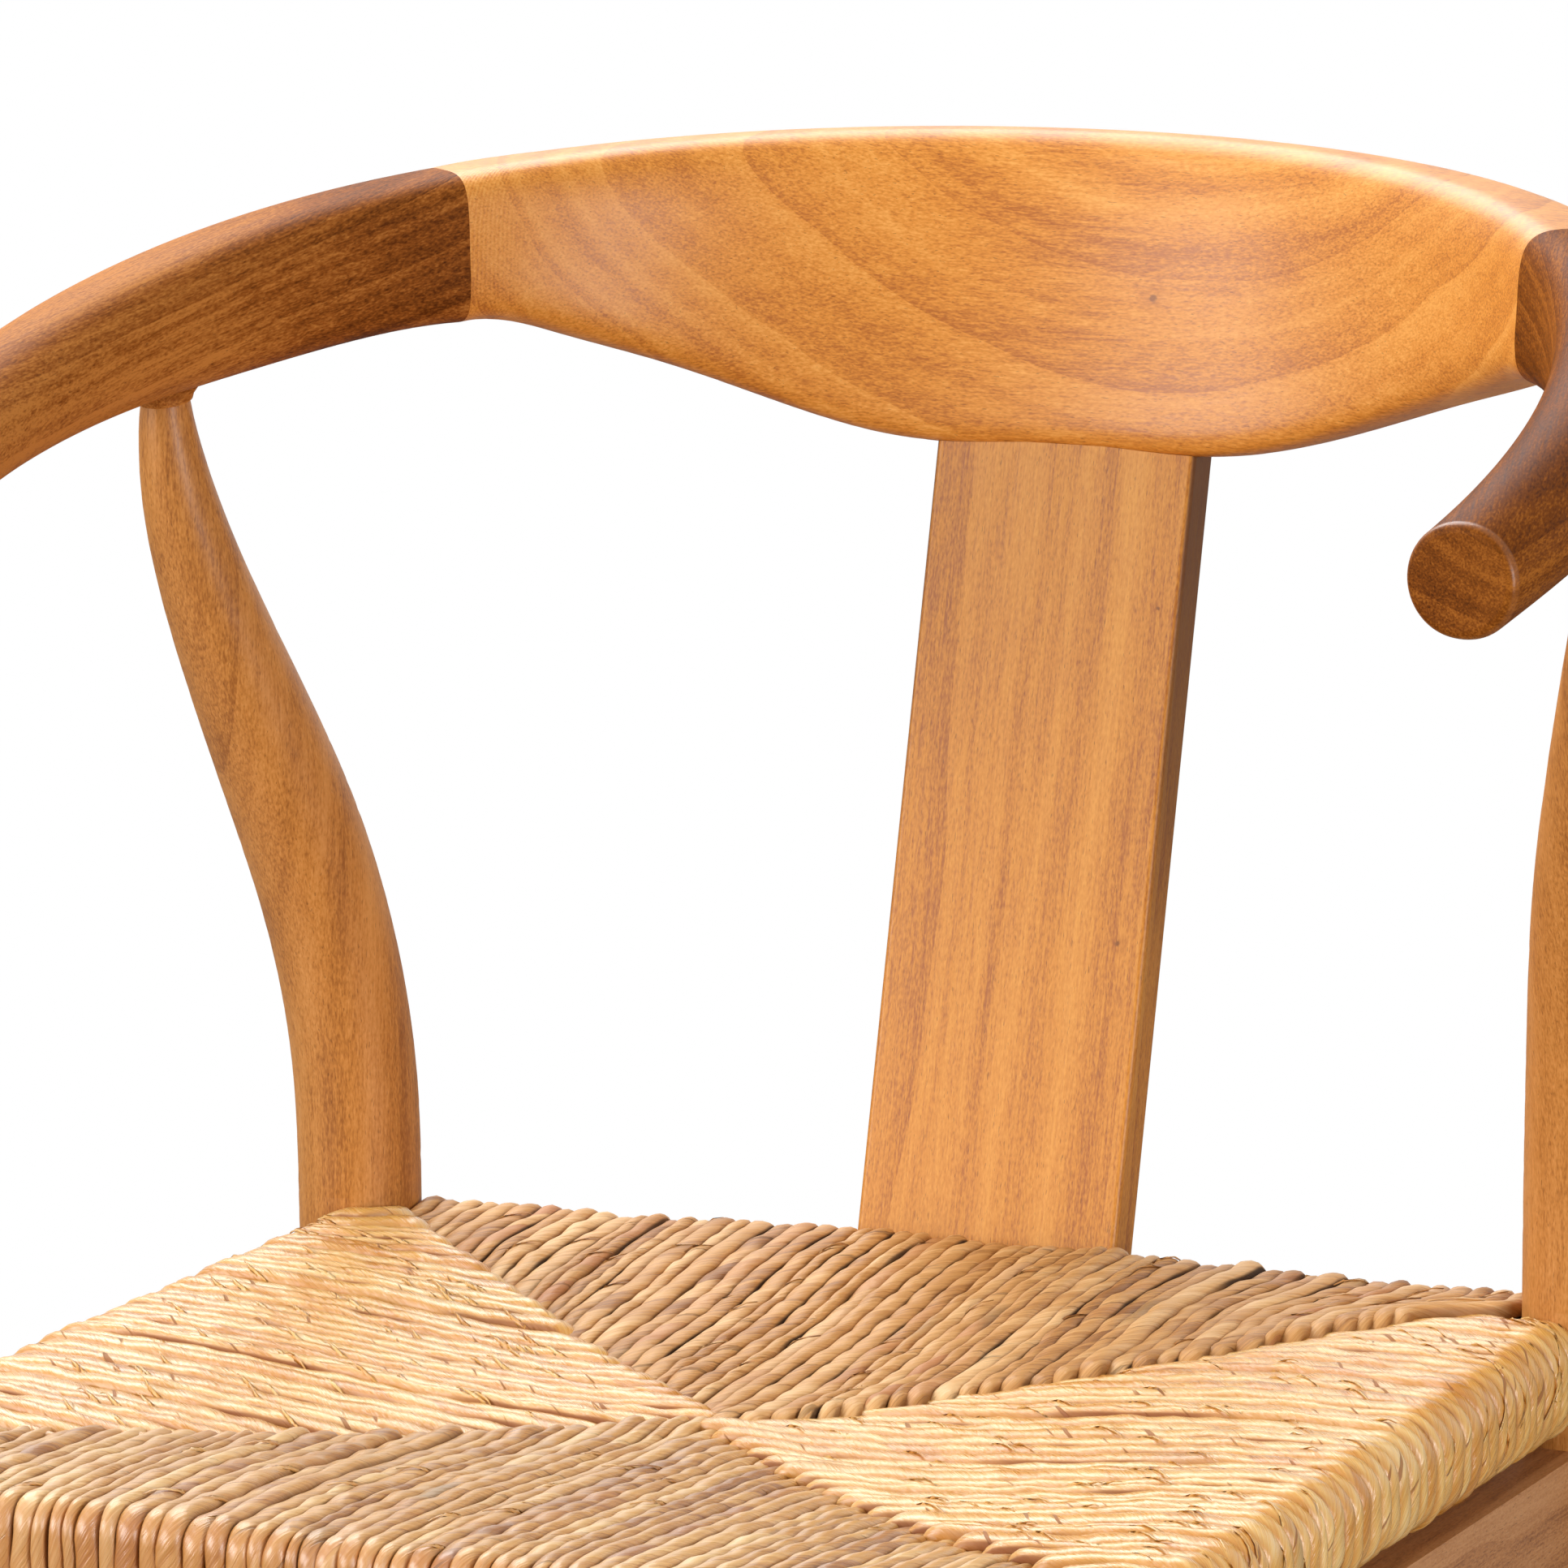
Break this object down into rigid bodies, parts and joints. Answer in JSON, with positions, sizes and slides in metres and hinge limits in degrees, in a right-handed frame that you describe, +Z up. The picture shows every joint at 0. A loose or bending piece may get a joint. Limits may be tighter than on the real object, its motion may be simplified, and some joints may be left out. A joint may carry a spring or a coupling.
{
  "type": "counter stool",
  "caption": "Counter stool with a horseshoe arm rail, a leaning back splat, swept rear legs, a woven rush seat over aprons, and a foot rail.",
  "frame": {"origin": "on the floor, under the middle of the stool's bounding box", "axes": "+Z up, +Y towards the back, +X to the right of someone who faces the stool"},
  "size_m": [0.5428, 0.5538, 0.996],
  "materials": {
    "crest_wood": "satin",
    "arm_wood": "satin",
    "frame_wood": "satin",
    "rush": "matte",
    "stuffing": "matte",
    "glide": "matte"
  },
  "bodies": {
    "root": {"crest_rail": "crest_wood", "woven_seat": "rush", "seat_stuffing": "stuffing", "back_splat": "frame_wood", "front_foot_rail": "frame_wood", "rear_stretcher": "frame_wood", "front_seat_rail": "frame_wood", "front_apron": "frame_wood", "rear_seat_rail": "frame_wood", "rear_apron": "frame_wood", "left_seat_rail": "frame_wood", "left_apron": "frame_wood", "left_stretcher": "frame_wood", "left_front_leg": "frame_wood", "left_rear_leg": "frame_wood", "left_splice_dowels": "frame_wood", "right_seat_rail": "frame_wood", "right_apron": "frame_wood", "right_stretcher": "frame_wood", "right_front_leg": "frame_wood", "right_rear_leg": "frame_wood", "right_splice_dowels": "frame_wood", "left_arm": "arm_wood", "left_front_glide": "glide", "left_rear_glide": "glide", "right_arm": "arm_wood", "right_front_glide": "glide", "right_rear_glide": "glide"}
  },
  "joints": []
}
